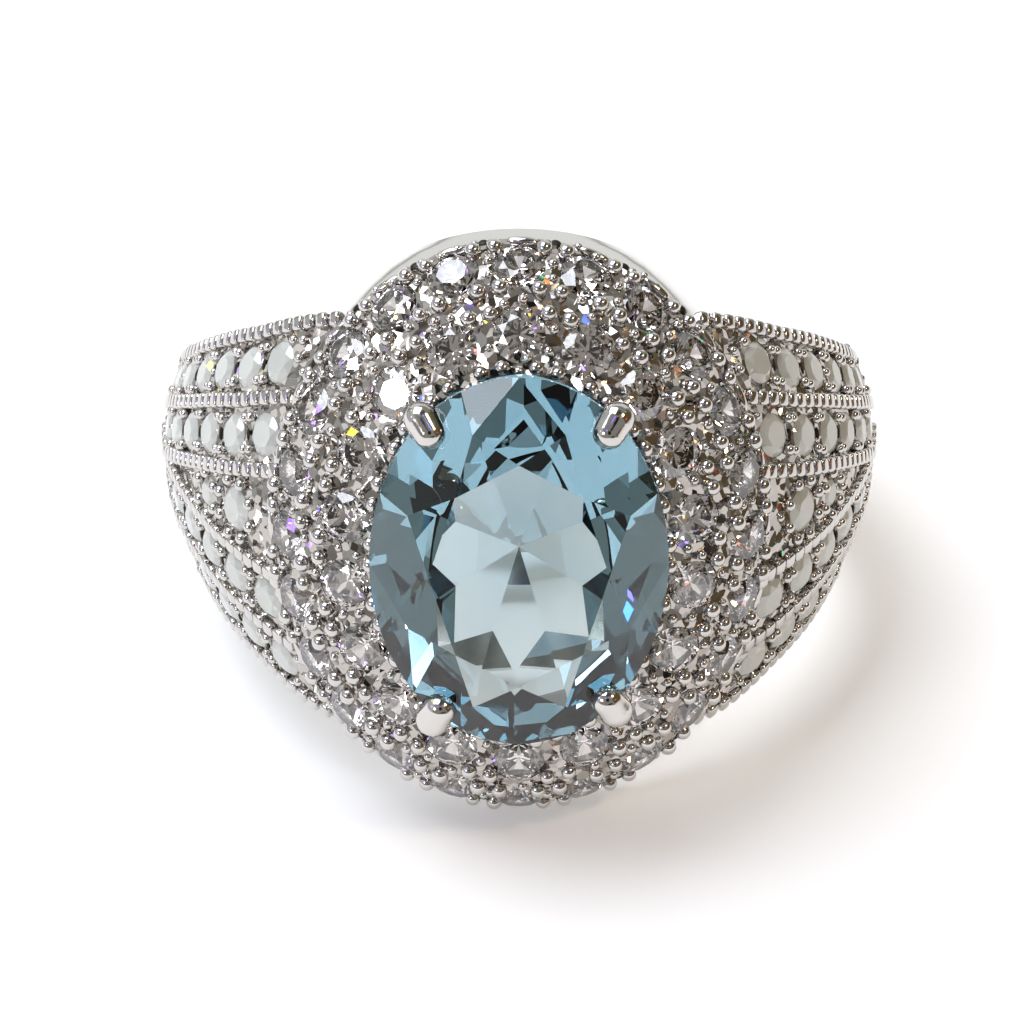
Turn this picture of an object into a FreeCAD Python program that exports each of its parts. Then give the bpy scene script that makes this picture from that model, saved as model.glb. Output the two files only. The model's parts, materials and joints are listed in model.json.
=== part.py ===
import FreeCAD, Part
import math
import os

# A dress ring: a domed oval cluster with one large oval stone in four claws, two rows of small
# round stones set round it, and wide shoulders with rows of smaller stones that taper to a plain
# shank.  Every piece is drawn with the ring upright (y along the finger, z out through the large
# stone) and then laid on its side, the way a ring lies on a table: on the edge of its head and on
# the edge at the back of the shank.

os.makedirs("parts", exist_ok=True)
doc = FreeCAD.newDocument("dress_ring")
V = FreeCAD.Vector

# ---------------------------------------------------------------- sizes, in millimetres and degrees
SIZES = [
    ("bore_radius", 8.5),
    ("dome_radius", 3.85),
    ("dome_spine_x", 3.12),
    ("dome_spine_y", 4.40),
    ("dome_level", 8.10),
    ("dome_wall", 1.15),
    ("opening_x", 3.74),
    ("opening_y", 4.90),
    ("oval_width", 8.06),
    ("oval_length", 10.36),
    ("oval_girdle_height", 12.62),
    ("halo_stone", 1.56),
    ("outer_row_tilt", 58.0),
    ("outer_row_count", 24),
    ("inner_row_tilt", 26.0),
    ("inner_row_count", 18),
    ("shoulder_stone_front", 1.38),
    ("shoulder_stone_back", 1.06),
    ("claw", 0.84),
    ("lean", 70.2),
]
sheet = doc.addObject("Spreadsheet::Sheet", "Sizes")
for row, (name, value) in enumerate(SIZES, start=1):
    sheet.set("A%d" % row, name)
    sheet.set("B%d" % row, str(value))
    sheet.setAlias("B%d" % row, name)
doc.recompute()


def size(name):
    return float(sheet.get(name))


# ---------------------------------------------------------------- the shank and shoulders
# Stations round the finger, measured from the stone: angle, half width, radius at the two edges,
# radius at the crown between them.  The band is mirrored left to right.
STATIONS = [
    (28, 5.90, 9.90, 11.55),
    (36, 5.60, 9.85, 11.40),
    (44, 5.05, 9.70, 11.10),
    (54, 4.50, 9.55, 10.75),
    (66, 3.75, 9.50, 10.45),
    (78, 3.00, 9.50, 10.30),
    (90, 2.50, 9.50, 10.20),
    (110, 2.05, 9.50, 10.15),
    (135, 1.65, 9.45, 10.05),
    (160, 1.50, 9.40, 10.00),
    (180, 1.50, 9.40, 10.00),
]


def round_finger(angle, radius, y):
    """A point at an angle round the finger from the stone, a radius and a place along the finger."""
    turn = math.radians(angle)
    return V(radius * math.sin(turn), y, radius * math.cos(turn))


def band_section(angle, half, edge, crown):
    inside = size("bore_radius") - 0.4
    low_in = round_finger(angle, inside, -half)
    low = round_finger(angle, edge, -half)
    top = round_finger(angle, crown, 0)
    high = round_finger(angle, edge, half)
    high_in = round_finger(angle, inside, half)
    edges = [
        Part.makeLine(low_in, low),
        Part.Arc(low, top, high).toShape(),
        Part.makeLine(high, high_in),
        Part.makeLine(high_in, low_in),
    ]
    return Part.Wire(edges)


def band_shape():
    one_side = [band_section(*station) for station in STATIONS]
    other_side = [band_section(-a, h, e, c) for a, h, e, c in reversed(STATIONS[:-1])]
    return Part.makeLoft(one_side + other_side, True, False, False)


def station_at(angle):
    """Half width, edge radius and crown radius between the stations."""
    angle = abs(angle)
    for near, far in zip(STATIONS, STATIONS[1:]):
        if near[0] <= angle <= far[0]:
            part = (angle - near[0]) / (far[0] - near[0])
            return [n + (f - n) * part for n, f in zip(near[1:], far[1:])]
    return STATIONS[0][1:]


# ---------------------------------------------------------------- the domed head
def ellipse(half_x, half_y, height):
    """An upright ellipse wire; the long half must come first for the geometry kernel."""
    if half_x >= half_y:
        curve = Part.Ellipse(V(half_x, 0, height), V(0, half_y, height), V(0, 0, height))
    else:
        curve = Part.Ellipse(V(0, half_y, height), V(-half_x, 0, height), V(0, 0, height))
    return Part.Wire([curve.toShape()])


def dome_ring(thickness, tilt):
    """The ellipse where the dome's surface leans by tilt from flat, thinned by a thickness."""
    radius = size("dome_radius") - thickness
    out = radius * math.sin(math.radians(tilt))
    up = radius * math.cos(math.radians(tilt))
    return ellipse(size("dome_spine_x") + out, size("dome_spine_y") + out, size("dome_level") + up)


def dome_shape(thickness, foot):
    """The rounded top of the head standing on a straight wall that reaches down to foot."""
    rings = [dome_ring(thickness, tilt) for tilt in (90, 75, 60, 45, 30, 15, 0)]
    top = Part.makeLoft(rings, True, False, False)
    wall = Part.Face(dome_ring(thickness, 90)).extrude(V(0, 0, foot - size("dome_level")))
    return top.fuse(wall)


# ---------------------------------------------------------------- round and oval brilliants
def round_brilliant(diameter):
    """A small brilliant as a closed solid of flat facets; its girdle's top lies at z = 0."""
    half = diameter / 2
    crown = 0.155 * diameter
    pavilion = 0.42 * diameter
    girdle = 0.04 * diameter
    table = 0.56
    star = 0.5 * (1.0 + table)
    lower = 0.24

    def at(turn, radius, z):
        angle = math.radians(turn)
        return V(half * radius * math.cos(angle), half * radius * math.sin(angle), z)

    eighth = math.cos(math.radians(22.5))
    star_z = crown * (1 - star * eighth) / (1 - table)
    lower_z = -girdle - pavilion * (1 - lower * eighth)
    culet = V(0, 0, -girdle - pavilion)
    facets = [[at(45 * k, table, crown) for k in range(8)]]
    for k in range(8):
        turn = 45 * k
        corner = at(turn, table, crown)
        tip = at(turn + 22.5, star, star_z)
        last_tip = at(turn - 22.5, star, star_z)
        main = at(turn, 1, 0)
        main_low = at(turn, 1, -girdle)
        side = at(turn + 22.5, 1, 0)
        side_low = at(turn + 22.5, 1, -girdle)
        last = at(turn - 22.5, 1, 0)
        last_low = at(turn - 22.5, 1, -girdle)
        low = at(turn + 22.5, lower, lower_z)
        last_down = at(turn - 22.5, lower, lower_z)
        facets.append([corner, tip, at(turn + 45, table, crown)])
        facets.append([corner, last_tip, main, tip])
        facets.append([tip, main, side])
        facets.append([last_tip, last, main])
        facets.append([main, main_low, side_low, side])
        facets.append([last, last_low, main_low, main])
        facets.append([main_low, low, side_low])
        facets.append([last_low, last_down, main_low])
        facets.append([culet, low, main_low, last_down])
    faces = [Part.Face(Part.makePolygon(points + points[:1])) for points in facets]
    return Part.makeSolid(Part.makeShell(faces))


def shave(stone, points):
    """Cut a solid with the plane through three points, keeping the side that holds the middle."""
    middle = V(0, 0, -0.3)
    normal = (points[1] - points[0]).cross(points[2] - points[0]).normalize()
    if normal.dot(points[0] - middle) < 0:
        normal = normal * -1
    block = Part.makeBox(60, 60, 60, V(-30, -30, 0))
    block.Placement = FreeCAD.Placement(points[0], FreeCAD.Rotation(V(0, 0, 1), normal))
    return stone.cut(block)


def oval_brilliant():
    """The large stone: an upright oval rod shaved flat facet by facet, so its edge stays round."""
    half_x = size("oval_width") / 2
    half_y = size("oval_length") / 2
    crown = 0.15 * size("oval_width")
    pavilion = 0.37 * size("oval_width")
    girdle = 0.30
    table = 0.60
    star = 0.80
    kite_side = 0.46
    kite_tip = 0.76
    kite_slope = half_x * math.tan(math.radians(32))
    # Hand cut facets never meet quite evenly: each corner between two kites is this much off.
    uneven = (0.02, -0.02, 0.03, -0.01, 0.01, -0.03, 0.02, -0.02)

    def at(turn, radius, z):
        angle = math.radians(turn)
        return V(half_x * radius * math.cos(angle), half_y * radius * math.sin(angle), z)

    eighth = math.cos(math.radians(22.5))
    star_z = crown * (1 - star * eighth) / (1 - table)
    lowest = -girdle - pavilion
    side_z = lowest + kite_slope * kite_side * eighth
    tip_z = lowest + kite_slope * kite_tip
    culet = V(0, 0, lowest)
    blank = Part.Face(ellipse(half_x, half_y, lowest))
    stone = blank.extrude(V(0, 0, girdle + pavilion + crown))
    for k in range(8):
        turn = 45 * k
        corner = at(turn, table, crown)
        tip = at(turn + 22.5, star, star_z)
        last_tip = at(turn - 22.5, star, star_z)
        main = at(turn, 1, 0)
        stone = shave(stone, [corner, tip, at(turn + 45, table, crown)])
        stone = shave(stone, [corner, main, tip])
        stone = shave(stone, [tip, main, at(turn + 22.5, 1, 0)])
        stone = shave(stone, [last_tip, main, at(turn - 22.5, 1, 0)])
        low_tip = at(turn, kite_tip, tip_z)
        after = at(turn + 22.5, kite_side, side_z + uneven[k])
        before = at(turn - 22.5, kite_side, side_z + uneven[k - 1])
        stone = shave(stone, [culet, after, before])
        stone = shave(stone, [after, low_tip, at(turn + 12, 1, -girdle)])
        stone = shave(stone, [before, low_tip, at(turn - 12, 1, -girdle)])
    return stone


def seat(diameter, through):
    """What is cut away for a round stone: its own outline with a hair of room all round."""
    room = 0.02
    half = diameter / 2 + room
    table = 0.56 * diameter / 2 + room
    crown = 0.155 * diameter + room
    pavilion = 0.48 * diameter + room
    hole = 0.22 * diameter
    meet = -pavilion * (1 - hole / half)
    outline = [
        V(0, 0, crown + 1.0),
        V(table, 0, crown + 1.0),
        V(table, 0, crown),
        V(half, 0, 0),
        V(half, 0, -0.05 * diameter - room),
        V(hole, 0, meet - 0.05 * diameter),
        V(hole, 0, -through),
        V(0, 0, -through),
    ]
    face = Part.Face(Part.makePolygon(outline + outline[:1]))
    return face.revolve(V(0, 0, 0), V(0, 0, 1), 360)


# ---------------------------------------------------------------- where the stones sit
def frame_at(point, normal, along):
    """A placement with z along the normal, x along the row of stones."""
    z = V(normal).normalize()
    x = (along - z * along.dot(z)).normalize()
    y = z.cross(x)
    turn = FreeCAD.Rotation(x, y, z, "ZXY")
    return FreeCAD.Placement(point, turn)


def dome_point(turn, tilt, lift):
    """A point on the dome and the way out of it; turn runs from the top of the head, clockwise."""
    a = math.radians(turn)
    t = math.radians(tilt)
    radius = size("dome_radius")
    half_x = size("dome_spine_x") + radius * math.sin(t)
    half_y = size("dome_spine_y") + radius * math.sin(t)
    point = V(half_x * math.sin(a), half_y * math.cos(a), size("dome_level") + radius * math.cos(t))
    along = V(half_x * math.cos(a), -half_y * math.sin(a), 0)
    up = V(math.sin(a) * math.cos(t), math.cos(a) * math.cos(t), -math.sin(t))
    normal = along.cross(up)
    if normal.z < 0:
        normal = normal * -1
    normal.normalize()
    return point + normal * lift, normal, along


def even_turns(tilt, count, offset):
    """Turns that share the length of the dome's ellipse equally between the stones."""
    steps = 1440
    points = [dome_point(360.0 * k / steps, tilt, 0)[0] for k in range(steps + 1)]
    run = [0.0]
    for near, far in zip(points, points[1:]):
        run.append(run[-1] + near.distanceToPoint(far))
    turns = []
    for k in range(count):
        goal = run[-1] * ((k + offset) / count % 1.0)
        index = next(i for i, length in enumerate(run) if length >= goal - 1e-9)
        turns.append(360.0 * index / steps)
    return turns


def halo_frames(row, depth):
    tilt = size(row + "_row_tilt")
    frames = []
    for turn in even_turns(tilt, int(size(row + "_row_count")), 0):
        point, normal, along = dome_point(turn, tilt, -depth)
        frames.append(frame_at(point, normal, along))
    return frames


def shoulder_point(angle, y, lift):
    """A point on the domed shoulder and the way out of it."""
    half, edge, crown = station_at(angle)

    def surface(turn, along):
        h, e, c = station_at(turn)
        return round_finger(turn, e + (c - e) * (1 - (along / h) ** 2), along)

    here = surface(angle, y)
    ahead = surface(angle + 0.5, y) - here
    across = surface(angle, y + 0.05) - here
    normal = ahead.cross(across)
    if normal.dot(here) < 0:
        normal = normal * -1
    normal.normalize()
    return here + normal * lift, normal, ahead


ROW_ANGLES = [39.5 + 7.9 * k for k in range(7)]


def row_offset(row, angle):
    """How far from the middle of the shoulder a row runs: row 1 is the outer, row 2 the inner."""
    half = station_at(angle)[0]
    if row == 1:
        return 2.20 + 0.906 * (half - 3.05)
    return 0.74 + 0.708 * (half - 3.05)


def shoulder_rows():
    """The rows of stones on one shoulder as (name, list of (angle, offset, diameter))."""
    rows = []
    front = size("shoulder_stone_front")
    back = size("shoulder_stone_back")
    for name, row, side in (
        ("upper_outer", 1, 1),
        ("upper_inner", 2, 1),
        ("lower_inner", 2, -1),
        ("lower_outer", 1, -1),
    ):
        stones = []
        for k, angle in enumerate(ROW_ANGLES[:8 - row]):
            diameter = front + (back - front) * k / (len(ROW_ANGLES) - 1)
            stones.append((angle, side * row_offset(row, angle), diameter))
        rows.append((name, stones))
    rows.append(("wedge", [(45.5, 0.0, 1.40), (54.5, 0.0, 0.95)]))
    return rows


def shoulder_frames(stones, hand):
    frames = []
    for angle, offset, diameter in stones:
        point, normal, ahead = shoulder_point(hand * angle, offset, -0.08)
        frames.append((frame_at(point, normal, ahead), diameter))
    return frames


# ---------------------------------------------------------------- the claw setting
CLAW_TURNS = (39, 141, 214, 321)


def rod(start, start_radius, end, end_radius):
    """A tapering round rod with rounded ends."""
    way = end - start
    core = Part.makeCone(start_radius, end_radius, way.Length, start, way)
    return core.multiFuse([Part.makeSphere(start_radius, start), Part.makeSphere(end_radius, end)])


def round_oval(turn, half_x, half_y, height):
    angle = math.radians(turn)
    return V(half_x * math.sin(angle), half_y * math.cos(angle), height)


def claw_leg(turn, room):
    """The part of a claw that rises from the rail to the stone's edge."""
    thick = size("claw") / 2
    girdle = size("oval_girdle_height")
    foot = round_oval(turn, 3.20, 4.36, size("dome_level") + 2.82)
    knee = round_oval(turn, 4.15, 5.27, girdle + 0.20)
    return rod(foot, thick - 0.06 + room, knee, thick + 0.06 + room)


def claw_tip(turn):
    """The rounded end of a claw, bent in over the edge of the stone."""
    thick = size("claw") / 2
    girdle = size("oval_girdle_height")
    knee = round_oval(turn, 4.15, 5.27, girdle + 0.20)
    end = round_oval(turn, 3.80, 4.84, girdle + 0.38)
    return rod(knee, thick + 0.06, end, thick + 0.02)


def claw_setting_shape():
    low = size("dome_level") + 2.60
    outer = Part.Face(ellipse(size("opening_x") - 0.01, size("opening_y") - 0.01, low))
    inner = Part.Face(ellipse(size("opening_x") - 0.68, size("opening_y") - 0.68, low - 0.1))
    rail = outer.extrude(V(0, 0, 0.46)).cut(inner.extrude(V(0, 0, 1.0)))
    claws = []
    for turn in CLAW_TURNS:
        claws.append(claw_leg(turn, 0.0))
        claws.append(claw_tip(turn))
    stone = oval_brilliant()
    stone.translate(V(0, 0, size("oval_girdle_height")))
    room = FreeCAD.Matrix()
    room.scale(1.004, 1.004, 1.0)
    stone = stone.transformGeometry(room)
    return rail.multiFuse(claws).cut(stone)


# ---------------------------------------------------------------- the document's objects
def feature(name, shape):
    thing = doc.addObject("Part::Feature", name)
    thing.Label = name
    thing.Shape = shape
    return thing


def joined(kind, name, **links):
    thing = doc.addObject(kind, name)
    thing.Label = name
    for key, value in links.items():
        setattr(thing, key, value)
    return thing


def all_seats():
    cutters = []
    for row in ("outer", "inner"):
        for frame in halo_frames(row, 0.10):
            cutter = seat(size("halo_stone"), 1.9)
            cutter.Placement = frame
            cutters.append(cutter)
    for hand in (-1, 1):
        for _, stones in shoulder_rows():
            for frame, diameter in shoulder_frames(stones, hand):
                cutter = seat(diameter, 0.75 * diameter)
                cutter.Placement = frame
                cutters.append(cutter)
    return Part.makeCompound(cutters)


def make_ring_body():
    band = feature("band_blank", band_shape())
    dome = feature("dome_blank", dome_shape(0.0, 5.0))
    blank = joined("Part::MultiFuse", "metal_blank", Shapes=[band, dome])
    bore = doc.addObject("Part::Cylinder", "finger_bore")
    bore.setExpression("Radius", "Sizes.bore_radius")
    bore.Height = 40
    bore.Placement = FreeCAD.Placement(V(0, 20, 0), FreeCAD.Rotation(V(1, 0, 0), 90))
    hollow = feature("head_hollow", dome_shape(size("dome_wall"), 3.0))
    well = Part.Face(ellipse(size("opening_x"), size("opening_y"), 9.0)).extrude(V(0, 0, 4.0))
    opening = feature("stone_opening", well)
    notches = feature("claw_notches", Part.makeCompound([claw_leg(t, 0.02) for t in CLAW_TURNS]))
    room = joined("Part::MultiFuse", "inside_room", Shapes=[bore, hollow, opening, notches])
    shell = joined("Part::Cut", "metal_shell", Base=blank, Tool=room)
    seats = feature("stone_seats", all_seats())
    return joined("Part::Cut", "ring_body", Base=shell, Tool=seats)


def make_halo():
    stones = []
    for row in ("outer", "inner"):
        for number, frame in enumerate(halo_frames(row, 0.10), start=1):
            name = "halo_%s_stone_%02d" % (row, number)
            stone = feature(name, round_brilliant(size("halo_stone")))
            stones.append((stone, frame))
    return stones


def make_shoulders():
    groups = []
    for hand, side in ((-1, "left"), (1, "right")):
        for row, stones in shoulder_rows():
            pieces = []
            for frame, diameter in shoulder_frames(stones, hand):
                piece = round_brilliant(diameter)
                piece.Placement = frame
                pieces.append(piece)
            name = "shoulder_%s_%s_stones" % (side, row)
            groups.append((feature(name, Part.makeCompound(pieces)), FreeCAD.Placement()))
    return groups


ring_body = make_ring_body()
claw_setting = feature("claw_setting", claw_setting_shape())
centre_stone = feature("centre_stone", oval_brilliant())
above = FreeCAD.Placement(V(0, 0, size("oval_girdle_height")), FreeCAD.Rotation())
pieces = [(ring_body, FreeCAD.Placement()), (claw_setting, FreeCAD.Placement())]
pieces.append((centre_stone, above))
pieces += make_halo()
pieces += make_shoulders()
doc.recompute()

# ---------------------------------------------------------------- laying the ring on its side
tipped = FreeCAD.Placement(V(0, 0, 0), FreeCAD.Rotation(V(1, 0, 0), size("lean")))


def reach(thing, local):
    """The exact box of a piece once it is tipped."""
    shape = thing.Shape.copy()
    shape.Placement = tipped.multiply(local)
    return shape.optimalBoundingBox(False, False)


boxes = [reach(thing, local) for thing, local in pieces]
low = min(box.ZMin for box in boxes)
middle = 0.5 * (min(box.YMin for box in boxes) + max(box.YMax for box in boxes))
rest = FreeCAD.Placement(V(0, -middle, -low), FreeCAD.Rotation()).multiply(tipped)
for thing, local in pieces:
    thing.Placement = rest.multiply(local)
doc.recompute()

# ---------------------------------------------------------------- check every piece and write it
for thing in doc.Objects:
    if "Invalid" in thing.State or "Error" in thing.State:
        raise RuntimeError("%s did not recompute" % thing.Label)
for thing, _ in pieces:
    shape = thing.Shape
    if shape.isNull() or not shape.isValid():
        raise RuntimeError("%s is not a valid solid" % thing.Label)
    shape.exportStep("parts/%s.step" % thing.Label)
    print(thing.Label, len(shape.Solids), round(shape.Volume, 3))
centre = rest.multVec(V(0, 0, 0))
print("finger bore centre", [round(value, 4) for value in centre])
print("finger axis", [round(value, 5) for value in rest.Rotation.multVec(V(0, 1, 0))])
print("stone normal", [round(value, 5) for value in rest.Rotation.multVec(V(0, 0, 1))])
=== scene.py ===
import json
import math
import random

import bpy
import numpy as np
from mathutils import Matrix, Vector
from mathutils.bvhtree import BVHTree
from mathutils.kdtree import KDTree


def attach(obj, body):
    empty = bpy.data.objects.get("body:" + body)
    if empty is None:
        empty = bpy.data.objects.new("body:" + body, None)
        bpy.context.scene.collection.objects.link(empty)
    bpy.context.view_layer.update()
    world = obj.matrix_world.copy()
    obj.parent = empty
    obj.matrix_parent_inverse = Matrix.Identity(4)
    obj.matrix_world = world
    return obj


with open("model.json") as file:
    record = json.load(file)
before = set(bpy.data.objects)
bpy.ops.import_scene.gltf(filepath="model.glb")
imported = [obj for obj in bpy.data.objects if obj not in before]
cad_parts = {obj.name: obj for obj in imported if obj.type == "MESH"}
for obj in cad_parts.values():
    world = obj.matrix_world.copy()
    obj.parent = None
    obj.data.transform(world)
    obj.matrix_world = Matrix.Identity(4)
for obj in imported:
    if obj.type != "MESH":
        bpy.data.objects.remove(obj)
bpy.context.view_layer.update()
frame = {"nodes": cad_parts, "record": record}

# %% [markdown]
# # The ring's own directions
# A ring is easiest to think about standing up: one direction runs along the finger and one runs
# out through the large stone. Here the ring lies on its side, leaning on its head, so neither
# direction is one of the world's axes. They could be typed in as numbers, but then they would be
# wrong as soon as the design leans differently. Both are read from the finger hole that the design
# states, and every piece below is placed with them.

MM = 0.001
bore = frame["record"]["mounts"][0]
CENTRE = Vector(bore["pos_m"])
FINGER = Vector(bore["axis"]).normalized()
SIDE = Vector((1, 0, 0))
FACE = SIDE.cross(FINGER).normalized()
print("face points", [round(v, 3) for v in FACE], "finger runs", [round(v, 3) for v in FINGER])

# %% [markdown]
# # Colours and a helper for materials
# A colour picked on a screen is stored in a curve that suits the eye, while light adds up on a
# straight scale. Colours are written here the way they look on a screen and turned into linear
# light once, in one place. The second helper adds one node with its settings and its links, so
# each material below reads as a short recipe.

# %% Helpers for colours and nodes


def colour(code):
    """A six-digit screen colour as linear light, with full opacity."""
    parts = [int(code[i:i + 2], 16) / 255 for i in (0, 2, 4)]
    linear = [p / 12.92 if p <= 0.04045 else ((p + 0.055) / 1.055) ** 2.4 for p in parts]
    return (*linear, 1.0)


def add(tree, kind, settings=None, links=None):
    """One node in a tree; settings are its options or inputs, links are inputs and sources."""
    node = tree.nodes.new(kind)
    for name, value in (settings or {}).items():
        if isinstance(name, int) or name in node.inputs:
            node.inputs[name].default_value = value
        else:
            setattr(node, name, value)
    for name, source in (links or {}).items():
        tree.links.new(source, node.inputs[name])
    return node


def new_material(name):
    """An empty material with its output, ready for a recipe."""
    material = bpy.data.materials.new(name)
    material.use_nodes = True
    material.node_tree.nodes.clear()
    output = add(material.node_tree, "ShaderNodeOutputMaterial")
    return material, material.node_tree, output


print("a middle grey on the screen is", round(colour("808080")[0], 3), "of full light")

# %% [markdown]
# # Rhodium plated silver, cast and polished
# Silver rings are often dipped in rhodium, a hard metal with a slightly cool white. The claws and
# beads are polished on a wheel, which leaves very fine lines and smears that break up reflections.
# A perfectly even mirror would be simpler, but it looks like a drawing of metal. Low roughness
# keeps the hard contrast of jewellery, a small bump carries the wheel's lines, and a slow noise
# makes some places a little duller than others, as fingers and cloth leave them. The lines of a
# real wheel are too fine to show, so they are drawn about ten times as wide.

# %% The polished metals
SMEAR_MM = 2.4
SMEAR_LEAST, SMEAR_MOST = 0.7, 1.5
LINE_DEPTH_MM = 0.01
LINE_STRENGTH = 0.12


def polished_metal(name, tint, rough, line_mm):
    """Metal of one tint; line_mm is the width of the wheel's lines."""
    material, tree, output = new_material(name)
    place = add(tree, "ShaderNodeNewGeometry")
    lines = add(tree, "ShaderNodeTexNoise", {"Scale": 1 / (line_mm * MM), "Detail": 3.0},
                {"Vector": place.outputs["Position"]})
    smears = add(tree, "ShaderNodeTexNoise", {"Scale": 1 / (SMEAR_MM * MM), "Detail": 2.0},
                 {"Vector": place.outputs["Position"]})
    spread = add(tree, "ShaderNodeMapRange",
                 {"From Min": 0.3, "From Max": 0.7,
                  "To Min": rough * SMEAR_LEAST, "To Max": rough * SMEAR_MOST},
                 {"Value": smears.outputs["Fac"]})
    bump = add(tree, "ShaderNodeBump",
               {"Strength": LINE_STRENGTH, "Distance": LINE_DEPTH_MM * MM},
               {"Height": lines.outputs["Fac"]})
    shader = add(tree, "ShaderNodeBsdfPrincipled", {"Base Color": colour(tint), "Metallic": 1.0},
                 {"Roughness": spread.outputs["Result"], "Normal": bump.outputs["Normal"]})
    tree.links.new(shader.outputs["BSDF"], output.inputs["Surface"])
    return material


CLAW = polished_metal("rhodium plated silver, cast and polished", "cfccc8", 0.12, 0.22)
BEADED = polished_metal("rhodium plated silver, burnished beads", "cbc8c4", 0.08, 0.12)
# The third finish is a dark metal used only as painted shade in the gaps and pits between beads.
PAINTED_SHADE = polished_metal("painted shade in the setting pits", "3a352f", 0.45, 0.10)
print("metal finishes ready:", CLAW.name, "/", BEADED.name, "/", PAINTED_SHADE.name)

# %% [markdown]
# # Bright cutting between the stones
# Before the stones go in, the setter cuts the metal around every seat with a sharp graver. Each
# stroke leaves a tiny mirror leaning its own way, so the face of the ring glitters even where
# there is no stone. Thousands of cuts could be modelled one by one, but they are only there to
# scatter light. A cell pattern gives each little patch a colour of its own, and that colour tilts
# the way the patch faces, which does the same with no extra mesh. Real cuts are finer, and these
# are drawn at a fifth of a millimetre so that they show.
#
# The cuts cover the outside of the dome and the shoulders only; the side walls, the rest of the
# band and the inside stay plain and polished. The mask for that is worked out from where a point
# lies round the finger hole and which way the metal faces there. The same mask gives the cut face
# a darker tint, which is painted shade among the stones, and the plain parts a lighter one, which
# is painted light.

# %% The cast metal and its bright cut face
FACET_MM = 0.21
FACET_LEAN = 1.15
DOME_FACES = 0.27
BAND_SIDEWAYS = 0.55
BAND_FRONT_MM = -0.4
MIX_FIRST, MIX_SECOND, MIX_RESULT = 6, 7, 2


def vector_maths(tree, operation, first, second):
    """A sum of two vectors; the second is a fixed direction or the output of another node."""
    if isinstance(second, Vector):
        return add(tree, "ShaderNodeVectorMath", {"operation": operation, 1: tuple(second)}, {0: first})
    return add(tree, "ShaderNodeVectorMath", {"operation": operation}, {0: first, 1: second})


def maths(tree, operation, first, second):
    """A sum of two numbers; the second is a fixed number or the output of another node."""
    if isinstance(second, float):
        return add(tree, "ShaderNodeMath", {"operation": operation, 1: second}, {0: first}).outputs[0]
    return add(tree, "ShaderNodeMath", {"operation": operation}, {0: first, 1: second}).outputs[0]


def cut_face(tree, point, normal):
    """A mask that is one where the casting was bright cut and zero elsewhere."""
    offset = vector_maths(tree, "SUBTRACT", point, CENTRE).outputs["Vector"]
    away = vector_maths(tree, "DOT_PRODUCT", offset, normal).outputs["Value"]
    outside = maths(tree, "GREATER_THAN", away, 0.0)
    forward = vector_maths(tree, "DOT_PRODUCT", normal, FACE).outputs["Value"]
    on_dome = maths(tree, "GREATER_THAN", forward, DOME_FACES)
    along = vector_maths(tree, "DOT_PRODUCT", normal, FINGER).outputs["Value"]
    on_band = maths(tree, "LESS_THAN", maths(tree, "ABSOLUTE", along, 0.0), BAND_SIDEWAYS)
    height = vector_maths(tree, "DOT_PRODUCT", offset, FACE).outputs["Value"]
    front = maths(tree, "GREATER_THAN", height, BAND_FRONT_MM * MM)
    either = maths(tree, "MAXIMUM", on_dome, maths(tree, "MULTIPLY", on_band, front))
    return maths(tree, "MULTIPLY", either, outside)


def bright_cut_metal(name, plain_painted_light_tint, cut_painted_shade_tint, rough):
    """Polished metal whose cut face is a patchwork of small leaning mirrors tinted darker as painted
    shade; the plain parts take a lighter tint as painted light.
    """
    material, tree, output = new_material(name)
    place = add(tree, "ShaderNodeNewGeometry")
    point, normal = place.outputs["Position"], place.outputs["Normal"]
    cut = cut_face(tree, point, normal)
    cells = add(tree, "ShaderNodeTexVoronoi", {"Scale": 1 / (FACET_MM * MM)}, {"Vector": point})
    leaning = vector_maths(tree, "SUBTRACT", cells.outputs["Color"], Vector((0.5, 0.5, 0.5)))
    amount = add(tree, "ShaderNodeVectorMath", {"operation": "SCALE"},
                 {0: leaning.outputs["Vector"], "Scale": maths(tree, "MULTIPLY", cut, FACET_LEAN)})
    leant = vector_maths(tree, "ADD", normal, amount.outputs["Vector"])
    faced = add(tree, "ShaderNodeVectorMath", {"operation": "NORMALIZE"}, {0: leant.outputs["Vector"]})
    # The darker cut tint is painted shade on the face among the stones; the lighter plain tint is painted
    # light on the walls.
    tint = add(tree, "ShaderNodeMix",
               {"data_type": "RGBA", MIX_FIRST: colour(plain_painted_light_tint), MIX_SECOND: colour(cut_painted_shade_tint)},
               {0: cut})
    shader = add(tree, "ShaderNodeBsdfPrincipled", {"Metallic": 1.0, "Roughness": rough},
                 {"Normal": faced.outputs["Vector"], "Base Color": tint.outputs[MIX_RESULT]})
    tree.links.new(shader.outputs["BSDF"], output.inputs["Surface"])
    return material


# One rhodium in two tints: painted light on the plain walls, painted shade on the cut face.
CAST = bright_cut_metal("rhodium plated silver, bright cut", "e4e3e0", "b9b4ae", 0.14)
print("facets of", FACET_MM, "mm on", CAST.name)

# %% [markdown]
# # Cut stones
# The small stones are cubic zirconia, which bends light more than glass (index about 2.15). The
# large one is sky-blue topaz (index about 1.62). Real stones have perfectly flat, very smooth
# facets, so the roughness is zero and all the life comes from the cut. A very weak bump keeps the
# largest facets from reflecting like window glass.
#
# Blue could be a tint on the surface, but then thin and thick parts would be equally blue. The
# large stone takes its colour from its depth instead: light loses red on every millimetre it
# travels inside, so the middle is deeper than the edges. The stones on the shoulders are seen
# from the side, where their tables mirror the pale room, and look like pale discs rather than
# sparks. Their material is only partly clear with a pale base, which is painted reflection.

# %% The clear stones
CLOUD_MM = 1.5
CLOUD_DEPTH_MM = 0.002
CLOUD_STRENGTH = 0.02
ZIRCONIA_INDEX = 2.15
TOPAZ_INDEX = 1.62


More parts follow.
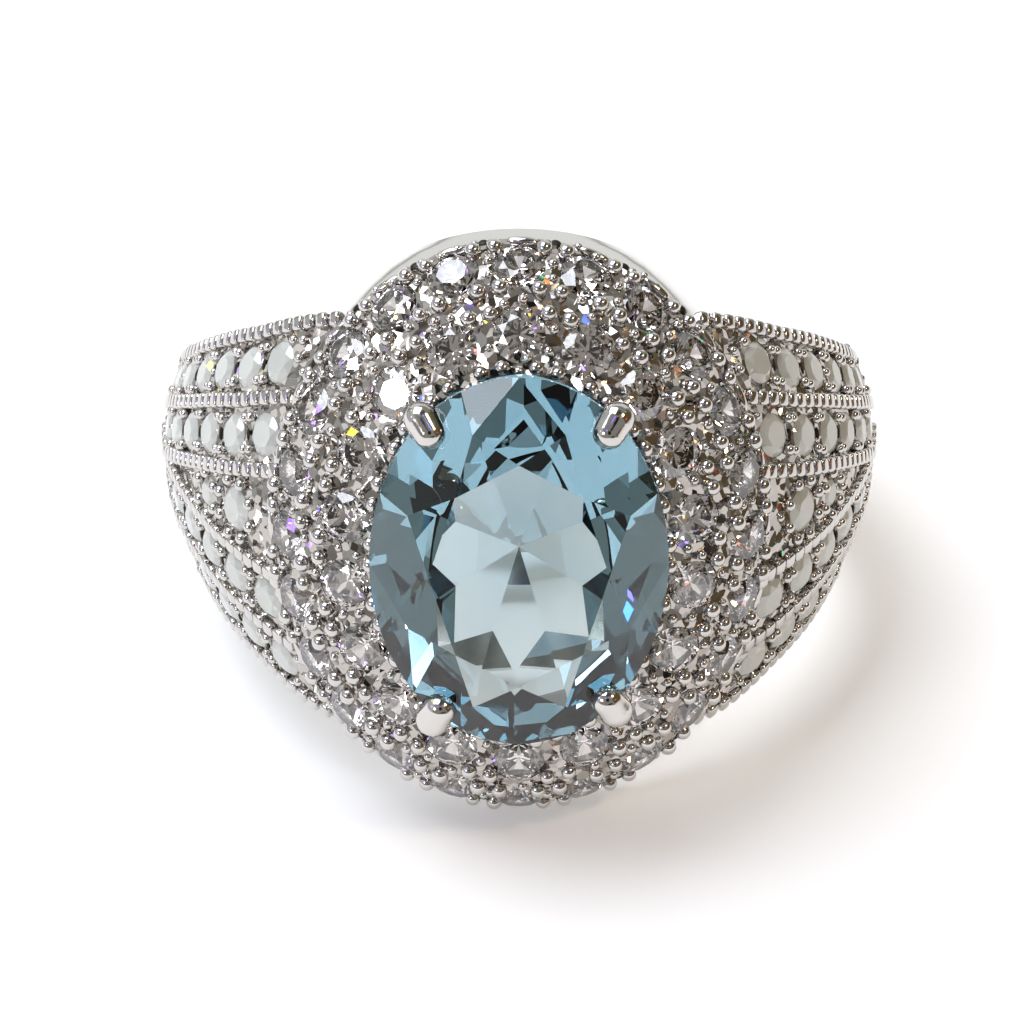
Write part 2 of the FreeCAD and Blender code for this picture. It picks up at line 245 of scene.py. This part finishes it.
def cut_stone(name, tint, index, clear=1.0, depth_tint=None, density=0.0):
    """A clear stone; depth_tint is the colour left after light has crossed it."""
    material, tree, output = new_material(name)
    place = add(tree, "ShaderNodeNewGeometry")
    cloud = add(tree, "ShaderNodeTexNoise", {"Scale": 1 / (CLOUD_MM * MM), "Detail": 1.0},
                {"Vector": place.outputs["Position"]})
    bump = add(tree, "ShaderNodeBump",
               {"Strength": CLOUD_STRENGTH, "Distance": CLOUD_DEPTH_MM * MM},
               {"Height": cloud.outputs["Fac"]})
    shader = add(tree, "ShaderNodeBsdfPrincipled",
                 {"Base Color": colour(tint), "Roughness": 0.0, "IOR": index,
                  "Transmission Weight": clear},
                 {"Normal": bump.outputs["Normal"]})
    tree.links.new(shader.outputs["BSDF"], output.inputs["Surface"])
    if depth_tint:
        inside = add(tree, "ShaderNodeVolumeAbsorption", {"Color": depth_tint, "Density": density})
        tree.links.new(inside.outputs["Volume"], output.inputs["Volume"])
    return material


WHITE = cut_stone("cubic zirconia, colourless, brilliant cut", "f0e9e7", ZIRCONIA_INDEX)
# The shoulder stones' pale, partly opaque base is painted reflection of the white room.
PALE_PAINTED_REFLECTION = cut_stone("cubic zirconia, small, pale painted reflection", "e6e9e1", ZIRCONIA_INDEX, clear=0.40)
BLUE = cut_stone("blue topaz, sky blue, oval brilliant cut", "ddd9d4", TOPAZ_INDEX,
                 depth_tint=(0.06, 0.62, 0.84, 1.0), density=105.0)
print("stones ready:", WHITE.name, "/", PALE_PAINTED_REFLECTION.name, "/", BLUE.name)

# %% [markdown]
# # Dressing the designed solids
# The designed solids come in as triangles. Metal flows, so the casting and the claws are shaded
# smoothly except where two surfaces meet at a real edge. A stone is the opposite: every facet has
# to stay flat, or the cut disappears.

# %% Put a finish on every designed piece
EDGE_DEGREES = 30
slots = {row["node"]: row["material_slot"] for row in frame["record"]["subparts"]}


def shade(obj, smooth, angle=EDGE_DEGREES):
    """Smooth or flat shading; edges sharper than the angle stay crisp."""
    for face in obj.data.polygons:
        face.use_smooth = smooth
    if smooth:
        obj.data.set_sharp_from_angle(angle=math.radians(angle))


for name, obj in frame["nodes"].items():
    metal = slots[name] == "rhodium_silver"
    finish = BLUE if slots[name] == "blue_stone" else PALE_PAINTED_REFLECTION if "shoulder" in name else WHITE
    if metal:
        finish = CAST if name == "ring_body" else CLAW
    obj.data.materials.clear()
    obj.data.materials.append(finish)
    if obj.data.has_custom_normals:
        bpy.context.view_layer.objects.active = obj
        bpy.ops.mesh.customdata_custom_splitnormals_clear()
    shade(obj, metal)
print("dressed", len(frame["nodes"]), "designed pieces")

# %% [markdown]
# # Finding each stone's seat
# The beads below stand beside the stones, so they need to know where each stone sits. Those places
# could be typed in from the design, but reading them off the meshes keeps both in step. A small
# stone's table is its largest flat face. Its direction says which way the metal faces there, and
# its middle, moved down to the girdle, says where the stone sits. A row of stones is one mesh, so
# it is first split into the separate stones.

# %% Split a mesh into its separate stones


def loose_parts(obj):
    """The separate closed solids of one mesh as lists of face indices.

    Corners that share the same thousandth of a millimetre count as one corner.
    """
    mesh = obj.data
    parent = list(range(len(mesh.vertices)))

    def root(i):
        while parent[i] != i:
            parent[i] = parent[parent[i]]
            i = parent[i]
        return i

    spots = {}
    for vertex in mesh.vertices:
        key = tuple(round(c * 1e6) for c in vertex.co)
        if key in spots:
            parent[root(vertex.index)] = root(spots[key])
        else:
            spots[key] = vertex.index
    for edge in mesh.edges:
        a, b = edge.vertices
        parent[root(a)] = root(b)
    groups = {}
    for face in mesh.polygons:
        groups.setdefault(root(face.vertices[0]), []).append(face.index)
    return list(groups.values())


row_name = "shoulder_left_upper_outer_stones"
print("stones in", row_name + ":", len(loose_parts(frame["nodes"][row_name])))

# %% Read the seats of all small stones
TABLE_ABOVE_GIRDLE = 0.31


def stone_seats(obj):
    """For each stone in a node: the middle of its girdle, the way its table faces and its radius."""
    seats = []
    mesh = obj.data
    for faces in loose_parts(obj):
        area = {}
        for index in faces:
            face = mesh.polygons[index]
            key = tuple(round(c, 2) for c in face.normal)
            area[key] = area.get(key, 0.0) + face.area
        best = max(area, key=area.get)
        table = [i for i in faces if tuple(round(c, 2) for c in mesh.polygons[i].normal) == best]
        normal = Vector(mesh.polygons[table[0]].normal)
        points = [mesh.vertices[v].co for i in faces for v in mesh.polygons[i].vertices]
        middle = sum((mesh.polygons[i].center * mesh.polygons[i].area for i in table), Vector())
        middle = middle / sum(mesh.polygons[i].area for i in table)
        radius = max(((p - middle) - normal * (p - middle).dot(normal)).length for p in points)
        seats.append((middle - normal * TABLE_ABOVE_GIRDLE * radius, normal.normalized(), radius))
    return seats


halo = {}
for row in ("outer", "inner"):
    names = sorted(n for n in frame["nodes"] if n.startswith("halo_%s_stone_" % row))
    halo[row] = [stone_seats(frame["nodes"][n])[0] for n in names]
shoulders = {}
for name, obj in frame["nodes"].items():
    if name.startswith("shoulder_"):
        seats = stone_seats(obj)
        seats.sort(key=lambda s: -(s[0] - CENTRE).dot(FACE))
        shoulders[name] = seats
print("halo rows", {row: len(seats) for row, seats in halo.items()})
print("shoulder rows", {name: len(seats) for name, seats in shoulders.items()})

# %% [markdown]
# # Many small balls as one mesh
# The ring carries about a thousand beads and grains. As separate objects they would be slow
# and hard to handle, so each kind becomes one mesh: the corners of one ball are stretched, turned
# and moved once for every spot. Raising the corners to a power below one squares the ball off,
# which milgrain needs later.

# %% Helpers for balls and pieces
BEAD_EDGE_DEGREES = 60


def unit_ball(segments, rings):
    """The corners and faces of a ball one unit across."""
    corners = [(0.0, 0.0, 0.5)]
    for ring in range(1, rings):
        fall = math.pi * ring / rings
        for step in range(segments):
            turn = 2 * math.pi * step / segments
            corners.append((0.5 * math.sin(fall) * math.cos(turn),
                            0.5 * math.sin(fall) * math.sin(turn), 0.5 * math.cos(fall)))
    corners.append((0.0, 0.0, -0.5))
    last = len(corners) - 1
    faces = []
    for step in range(segments):
        after = (step + 1) % segments
        faces.append((0, 1 + step, 1 + after))
        for ring in range(rings - 2):
            top, low = 1 + ring * segments, 1 + (ring + 1) * segments
            faces.append((top + step, low + step, low + after, top + after))
        base = 1 + (rings - 2) * segments
        faces.append((last, base + after, base + step))
    return np.array(corners), faces


def bead_mesh(spots, segments, rings, square=1.0):
    """One mesh of many balls; a spot is (middle, normal, along, length, width, height)."""
    ball, ball_faces = unit_ball(segments, rings)
    ball = np.sign(ball) * np.abs(ball * 2) ** square / 2
    corners, faces = [], []
    for middle, normal, along, long_mm, wide_mm, tall_mm in spots:
        across = normal.cross(along).normalized()
        along = across.cross(normal).normalized()
        axes = np.array([along * long_mm * MM, across * wide_mm * MM, normal * tall_mm * MM])
        faces += [[v + len(corners) * len(ball) for v in face] for face in ball_faces]
        corners.append(ball @ axes + np.array(middle))
    data = bpy.data.meshes.new("beads")
    data.from_pydata(np.concatenate(corners).tolist(), [], faces)
    return data


def add_piece(name, data, material):
    """A finished visual piece that belongs to the ring."""
    obj = bpy.data.objects.new(name, data)
    bpy.context.scene.collection.objects.link(obj)
    obj.data.materials.append(material)
    shade(obj, True, BEAD_EDGE_DEGREES)
    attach(obj, "root")


print("one bead has", len(unit_ball(16, 10)[1]), "faces")

# %% [markdown]
# # Beads raised from the metal
# A setter holds each small stone by pushing up little curls of metal beside it and rounding them
# with a hollow punch. Between two neighbours there is a pair on either side of the row. A bead
# could be placed at a height worked out from the dome's shape; dropping a line onto the casting
# is simpler and always lands on the metal. No two beads come out the same under a hand punch, so
# size and place wander a little.

# %% Helpers that put a bead on the metal
BEAD_MM = 0.46
BEAD_WOBBLE = 0.10
BEAD_SHIFT_MM = 0.04
BEAD_RAISED_MM = 0.06
DROP_FROM_MM = 0.8
DROP_REACH_MM = 1.7
body = frame["nodes"]["ring_body"]
body_tree = BVHTree.FromPolygons([v.co for v in body.data.vertices],
                                 [p.vertices for p in body.data.polygons])
rng = random.Random(7)


def on_metal(point, normal):
    """Where a line dropped onto the casting from just above a point lands, or nothing."""
    return body_tree.ray_cast(point + normal * DROP_FROM_MM * MM, -normal, DROP_REACH_MM * MM)[0]


def pair_spots(near, far, reach, apart_mm, size=BEAD_MM):
    """The beads between two neighbouring stones; reach gives the distance to each side of the row."""
    middle = (near[0] + far[0]) / 2
    normal = (near[1] + far[1]).normalized()
    along = (far[0] - near[0]).normalized()
    across = normal.cross(along).normalized()
    spots = []
    for out_mm in reach:
        for step in (-1, 1):
            wobble = 1 + rng.uniform(-BEAD_WOBBLE, BEAD_WOBBLE)
            shift = rng.uniform(-BEAD_SHIFT_MM, BEAD_SHIFT_MM)
            goal = middle + across * (out_mm + shift) * MM + along * step * apart_mm / 2 * MM
            land = on_metal(goal, normal)
            if land is None:
                land = goal
            spots.append((land + normal * BEAD_RAISED_MM * MM, normal, along, size * wobble,
                          size * wobble, size * wobble))
    return spots


def drop(middle, normal, along, out_mm, sizes):
    """One lump a distance across the row from a point, or nothing where there is no metal."""
    across = normal.cross(along).normalized()
    land = on_metal(middle + across * out_mm * MM, normal)
    return [] if land is None else [(land, normal, along, *sizes)]


def outward(seat, after):
    """The sign that leads across the row away from the large stone."""
    across = seat[1].cross(after[0] - seat[0])
    return 1 if across.dot(seat[0] - CENTRE - FACE * (seat[0] - CENTRE).dot(FACE)) > 0 else -1


print("the casting has", len(body.data.polygons), "faces to land on")

# %% [markdown]
# # The beads, pads and pits of the head
# Round the edge of the head the setter leaves a small pad of metal outside each stone, with a dark
# gap between one pad and the next. The pads are flattened balls, and each gap is a low dark lump
# of painted shade that stands in for the shade in a pit, because a hole can't be added to the
# designed casting.

# %% Set the two rows of the head
REACH = {"outer": (0.70, 0.80), "inner": (0.72, 0.78)}
HALO_PAIR_MM = 0.60
PAD_OUT_MM, PAD_SIZES = 0.97, (0.90, 0.30, 0.24)
# The gap lumps are painted shade between the pads.
GAP_OUT_MM, GAP_SIZES = 1.04, (0.30, 0.26, 0.10)
RIM_OUT_MM, RIM_PAIR_MM, RIM_BEAD_MM = 0.90, 0.46, 0.28
halo_spots, pad_spots, painted_shade_spots = [], [], []
for row in ("outer", "inner"):
    seats = halo[row]
    for index, near in enumerate(seats):
        far = seats[(index + 1) % len(seats)]
        sign = outward(near, far)
        out_mm, in_mm = REACH[row]
        halo_spots += pair_spots(near, far, (sign * out_mm, -sign * in_mm), HALO_PAIR_MM)
        middle, normal = (near[0] + far[0]) / 2, (near[1] + far[1]).normalized()
        along = far[0] - near[0]
        if row == "outer":
            pad_spots += drop(near[0], near[1], along, sign * PAD_OUT_MM, PAD_SIZES)
            # A low dark lump in the gap between two pads is painted shade.
            painted_shade_spots += drop(middle, normal, along, sign * GAP_OUT_MM, GAP_SIZES)
            halo_spots += pair_spots(near, far, (sign * RIM_OUT_MM,), RIM_PAIR_MM, size=RIM_BEAD_MM)
add_piece("halo_setting_beads", bead_mesh(halo_spots, 16, 10), BEADED)
add_piece("rim_pads", bead_mesh(pad_spots, 18, 8), BEADED)
# The dark lumps in the gaps are painted shade.
add_piece("halo_painted_shade_pits", bead_mesh(painted_shade_spots, 10, 6), PAINTED_SHADE)
print("halo beads", len(halo_spots), "rim pads", len(pad_spots), "gaps", len(painted_shade_spots))

# %% [markdown]
# # Milgrain and the beads on the shoulders
# Milgrain is a line of tiny balls rolled along an edge with a small knurled wheel. Here it edges
# both shoulders and divides the rows of stones. A curve with an array of balls could follow each
# line, but the lines would have to be drawn by hand. They run beside the rows, so they are worked
# out from the stones' own places: a share of the way from the outer row to the inner one. The
# wheel squeezes the balls against each other, so they are squared off and almost touch.

# %% Helpers that run a line of grains beside a row
LINE_TAIL = 0.9


def follow(points, pitch):
    """Evenly spaced spots along a line of (point, normal) pairs."""
    spots = []
    left = 0.0
    for (a, na), (b, nb) in zip(points, points[1:]):
        length = (b - a).length
        place = left
        while place < length:
            t = place / length
            spots.append((a.lerp(b, t), na.lerp(nb, t).normalized(), (b - a).normalized()))
            place += pitch
        left = place - length
    return spots


def line_between(first, second, share, lead_by):
    """A line of (point, normal) pairs a share of the way from one row to the other."""
    points = []
    for a, b in zip(first, second):
        points.append((a[0].lerp(b[0], share), (a[1].lerp(b[1], max(0, min(1, share)))).normalized()))
    lead = points[0][0] - (points[1][0] - points[0][0]) * lead_by
    tail = points[-1][0] + (points[-1][0] - points[-2][0]) * LINE_TAIL
    return [(lead, points[0][1])] + points + [(tail, points[-1][1])]


rows = [shoulders["shoulder_left_upper_%s_stones" % k] for k in ("outer", "inner")]
line = line_between(*rows, 0.5, 0.5)
print("one line is", round((line[-1][0] - line[0][0]).length / MM, 1), "mm from end to end")

# %% Set the shoulders
GRAIN_ALONG_MM = 0.39
GRAIN_ACROSS_MM = 0.44
GRAIN_TALL_MM = 0.34
GRAIN_RAISED_MM = 0.03
GRAIN_SQUARE = 0.52
PITCH_MM = 0.45
LINES = ((-0.52, 1.2), (0.5, 0.5), (1.5, 0.5))
SIDE_OUT_MM, SIDE_PAIR_MM, SIDE_BEAD_MM = 0.44, 0.26, 0.30
# SLOT_SIZES are the sizes of the dark lumps of painted shade between shoulder stones.
SLOT_SIZES = (0.14, 0.36, 0.10)
WEDGE_BEAD_MM, WEDGE_OUT_MM, WEDGE_RAISED_MM = 0.36, 0.14, 0.05
WEDGE_WIDE_MM, WEDGE_MANY, WEDGE_FEW = 0.6, 8, 6
grain_spots, shoulder_spots, shoulder_painted_shade = [], [], []
for hand in ("left", "right"):
    for up in ("upper", "lower"):
        outer, inner = (shoulders["shoulder_%s_%s_%s_stones" % (hand, up, k)] for k in ("outer", "inner"))
        for seats in (outer, inner):
            for near, far in zip(seats, seats[1:]):
                shoulder_spots += pair_spots(near, far, (-SIDE_OUT_MM, SIDE_OUT_MM), SIDE_PAIR_MM,
                                             size=SIDE_BEAD_MM)
                middle, normal = (near[0] + far[0]) / 2, (near[1] + far[1]).normalized()
                # A low dark lump midway between two stones of a row is painted shade.
                shoulder_painted_shade += drop(middle, normal, far[0] - near[0], 0.0, SLOT_SIZES)
        for share, lead_by in LINES:
            line = line_between(outer, inner, share, lead_by)
            for point, normal, along in follow(line, PITCH_MM * MM):
                land = on_metal(point, normal)
                if land is not None:
                    grain_spots.append((land + normal * GRAIN_RAISED_MM * MM, normal, along,
                                        GRAIN_ALONG_MM, GRAIN_ACROSS_MM, GRAIN_TALL_MM))
    for middle, normal, radius in shoulders["shoulder_%s_wedge_stones" % hand]:
        around = WEDGE_MANY if radius > WEDGE_WIDE_MM * MM else WEDGE_FEW
        for step in range(around):
            turn = 2 * math.pi * (step + 0.5) / around
            side = normal.cross(FINGER).normalized()
            along = side * math.cos(turn) + normal.cross(side) * math.sin(turn)
            land = on_metal(middle + along * (radius + WEDGE_OUT_MM * MM), normal)
            if land is not None:
                shoulder_spots.append((land + normal * WEDGE_RAISED_MM * MM, normal, along,
                                       WEDGE_BEAD_MM, WEDGE_BEAD_MM, WEDGE_BEAD_MM))
add_piece("shoulder_milgrain", bead_mesh(grain_spots, 16, 10, GRAIN_SQUARE), BEADED)
add_piece("shoulder_setting_beads", bead_mesh(shoulder_spots, 12, 8), BEADED)
# The dark lumps between the shoulder stones are painted shade.
add_piece("shoulder_painted_shade_pits", bead_mesh(shoulder_painted_shade, 8, 6), PAINTED_SHADE)
print("milgrain balls", len(grain_spots), "shoulder beads", len(shoulder_spots))

# %% [markdown]
# # Small grains that fill the metal between the stones
# On a pave ring no plain metal is left between the stones: whatever the cutter raises and the punch
# misses stays as small grains, and the bare spots between them read dark. A regular grid of grains
# would look stamped. Spots are tried at random over the casting instead, and one is kept where it
# touches neither a stone nor a grain already there.

# %% Helpers that test a spot
GRAIN_STEP_MM = 0.44
STONE_ROOM_MM = 0.07
STONE_REACH_MM = 0.45
SAME_FACING = 0.55
all_seats = [seat for row in halo.values() for seat in row]
all_seats += [seat for row in shoulders.values() for seat in row]
seat_tree = KDTree(len(all_seats))
for number, seat in enumerate(all_seats):
    seat_tree.insert(seat[0], number)
seat_tree.balance()
taken = {}


def near_stone(point, normal):
    """Whether a spot is metal beside a stone: within reach of one and under none."""
    for _, number, away in seat_tree.find_n(point, 4):
        if away < all_seats[number][2] + STONE_ROOM_MM * MM:
            return False
    _, number, away = seat_tree.find(point)
    reach = all_seats[number][2] + STONE_REACH_MM * MM
    return away < reach and normal.dot(all_seats[number][1]) > SAME_FACING


def cell(point):
    """The little cube of space that a point lies in, as a key."""
    return tuple(math.floor(c / (GRAIN_STEP_MM * MM)) for c in point)


def free(point, room):
    """Whether nothing taken lies within room of a point; only the cubes around it are searched."""
    home = cell(point)
    for dx in (-1, 0, 1):
        for dy in (-1, 0, 1):
            for dz in (-1, 0, 1):
                for other in taken.get((home[0] + dx, home[1] + dy, home[2] + dz), []):
                    if (other - point).length < room:
                        return False
    return True


print("small stones to keep clear of:", len(all_seats))

# %% Scatter the grains
TRIES = 60000
GRAIN_LEAST_MM, GRAIN_MOST_MM = 0.22, 0.32
GRAIN_LIES = SIDE + FINGER * 0.3


def scatter(obj, tries):
    """Random spots spread evenly over a mesh, with the way the surface faces there."""
    faces = obj.data.polygons
    corners = [v.co for v in obj.data.vertices]
    picks = rng.choices(range(len(faces)), weights=[f.area for f in faces], k=tries)
    for index in picks:
        face = faces[index]
        a, b, c = (corners[v] for v in face.vertices[:3])
        u, v = rng.random(), rng.random()
        if u + v > 1:
            u, v = 1 - u, 1 - v
        yield a + (b - a) * u + (c - a) * v, face.normal.copy()


for spot in halo_spots + shoulder_spots + grain_spots:
    taken.setdefault(cell(spot[0]), []).append(spot[0])
small_spots = []
for point, normal in scatter(body, TRIES):
    if not near_stone(point, normal) or not free(point, GRAIN_STEP_MM * MM):
        continue
    taken.setdefault(cell(point), []).append(point)
    grain = rng.uniform(GRAIN_LEAST_MM, GRAIN_MOST_MM)
    small_spots.append((point, normal, GRAIN_LIES, grain, grain, grain))
add_piece("filling_grains", bead_mesh(small_spots, 10, 7), BEADED)
print("filling grains", len(small_spots))

# %% [markdown]
# # A white card to lie on
# Small jewellery is shown on a pale sheet that melts into a white background. The sheet could be
# lit until it is white, but the ring would burn out with it. A little light of its own lifts the
# sheet and keeps the shadow under the ring soft and pale.

# %% Helpers for flat pieces, and the card
CARD_SIDE_M = 1.6
CARD_GLOW = 0.22


def flat_panel(name, middle, toward, width, height, material):
    """A rectangle facing a point, sizes in metres."""
    data = bpy.data.meshes.new(name)
    w, h = width / 2, height / 2
    data.from_pydata([(-w, -h, 0), (w, -h, 0), (w, h, 0), (-w, h, 0)], [], [(0, 1, 2, 3)])
    obj = bpy.data.objects.new(name, data)
    bpy.context.scene.collection.objects.link(obj)
    obj.data.materials.append(material)
    obj.location = middle
    obj.rotation_euler = (Vector(toward) - Vector(middle)).to_track_quat("Z", "Y").to_euler()
    return obj


paper, tree, output = new_material("white card, matte")
shader = add(tree, "ShaderNodeBsdfPrincipled",
             {"Base Color": colour("e9e9e8"), "Roughness": 0.9, "Specular IOR Level": 0.2,
              "Emission Color": colour("ffffff"), "Emission Strength": CARD_GLOW})
tree.links.new(shader.outputs["BSDF"], output.inputs["Surface"])
card = flat_panel("table", (0, 0, 0), (0, 0, 1), CARD_SIDE_M, CARD_SIDE_M, paper)
print("card", card.name, "is", CARD_SIDE_M, "m wide")

# %% [markdown]
# # Soft light and something to reflect
# Polished metal and cut stones show only what is around them. One large soft light does most of
# the work, two small lamps add sparkle and some warmth from the right, and pale and dark cards
# stand round the table to be reflected.
#
# A real stone splits white light into colours, and the renderer doesn't. Tiny bright cards in pure
# colours stand in for that: a facet that happens to face one of them flashes violet, green or
# orange.

# %% The room's light and the lamps
ROOM_LIGHT = 0.62
MIDDLE = (0.0, 0.0, 0.008)
world = bpy.data.worlds.new("room")
bpy.context.scene.world = world
world.use_nodes = True
world.node_tree.nodes["Background"].inputs["Color"].default_value = colour("b9b6b0")
world.node_tree.nodes["Background"].inputs["Strength"].default_value = ROOM_LIGHT


def soft_light(name, place, size, watts, code):
    """A rectangular lamp that shines on the ring."""
    light = bpy.data.lights.new(name, "AREA")
    light.shape = "RECTANGLE"
    light.size, light.size_y = size
    light.energy = watts
    light.color = colour(code)[:3]
    obj = bpy.data.objects.new(name, light)
    bpy.context.scene.collection.objects.link(obj)
    obj.location = place
    obj.rotation_euler = (Vector(MIDDLE) - Vector(place)).to_track_quat("-Z", "Y").to_euler()


soft_light("window", (-0.12, 0.05, 0.31), (0.27, 0.23), 1.15, "eef3ff")
soft_light("side lamp", (-0.16, -0.16, 0.12), (0.05, 0.05), 0.10, "ffffff")
soft_light("warm lamp", (0.16, -0.08, 0.22), (0.04, 0.04), 0.14, "ffe2bc")
print("lamps:", [light.name for light in bpy.data.lights])

# %% The cards around the table: name, place, width, height, colour and strength


def emission(name, code, strength):
    """A material that only glows."""
    material, tree, output = new_material(name)
    glow = add(tree, "ShaderNodeEmission", {"Color": colour(code), "Strength": strength})
    tree.links.new(glow.outputs["Emission"], output.inputs["Surface"])
    return material


CARDS = [
    ("left wall", (-0.45, 0.00, 0.20), 0.70, 0.40, "dfe5e6", 0.75),
    ("back wall", (0.00, 0.45, 0.22), 0.80, 0.40, "f4f5f4", 0.95),
    ("right wall", (0.45, -0.05, 0.20), 0.70, 0.40, "8c7b5c", 0.52),
    ("ceiling board", (0.06, -0.10, 0.52), 0.34, 0.26, "6b645b", 0.60),
    ("photographer", (0.02, -0.34, 0.27), 0.16, 0.16, "2a2724", 0.40),
    ("low dark board", (0.12, -0.36, 0.06), 0.26, 0.07, "2b2824", 0.40),
    ("violet glint", (-0.10, -0.22, 0.30), 0.028, 0.028, "7a5cff", 9.0),
    ("orange glint", (0.16, -0.16, 0.26), 0.018, 0.018, "ff8a2a", 9.0),
    ("yellow glint", (-0.20, 0.10, 0.16), 0.018, 0.018, "fff04a", 9.0),
    ("green glint", (0.22, 0.06, 0.20), 0.016, 0.016, "4affb0", 7.0),
    ("blue glint", (0.10, -0.20, 0.33), 0.018, 0.018, "5a86ff", 9.0),
    ("gold glint", (-0.02, 0.12, 0.34), 0.016, 0.016, "ffd23a", 9.0),
    ("red glint", (0.22, -0.10, 0.10), 0.016, 0.016, "ff4a3a", 8.0),
    ("lilac glint", (-0.22, -0.06, 0.12), 0.026, 0.026, "b48cff", 9.0),
]
for name, place, width, height, code, strength in CARDS:
    flat_panel(name, place, MIDDLE, width, height, emission(name, code, strength))
print("table, world, three lights and", len(CARDS), "cards")

# %% [markdown]
# # The camera
# The ring is seen from in front and above, a little above the direction its large stone faces,
# with a long lens from 150 mm away. A shorter lens close by would show as much, but it would swell
# the head and hide the shoulders. The aim is given in the ring's own directions, from the middle
# of the finger hole.

# %% Place the camera
CAMERA_RISE = 16.5
CAMERA_FAR_MM = 150.0
LENS_MM = 180.4
SENSOR_MM = 36.0
NEAREST_M = 0.01
AIM_BELOW_MM = 2.398
AIM_LEFT_MM = 0.205
camera = bpy.data.cameras.new("camera")
camera.lens = LENS_MM
camera.sensor_width = SENSOR_MM
camera.clip_start = NEAREST_M
camera_obj = bpy.data.objects.new("camera", camera)
bpy.context.scene.collection.objects.link(camera_obj)
rise = math.radians(CAMERA_RISE)
back = FACE * math.cos(rise) + FINGER * math.sin(rise)
camera_obj.location = CENTRE + back * CAMERA_FAR_MM * MM
up = FINGER * math.cos(rise) - FACE * math.sin(rise)
aim = CENTRE - up * AIM_BELOW_MM * MM - SIDE * AIM_LEFT_MM * MM
camera_obj.rotation_euler = (aim - camera_obj.location).to_track_quat("-Z", "Y").to_euler()
bpy.context.scene.camera = camera_obj
bpy.context.scene.view_settings.view_transform = "Standard"
print("camera at", [round(v, 4) for v in camera_obj.location])
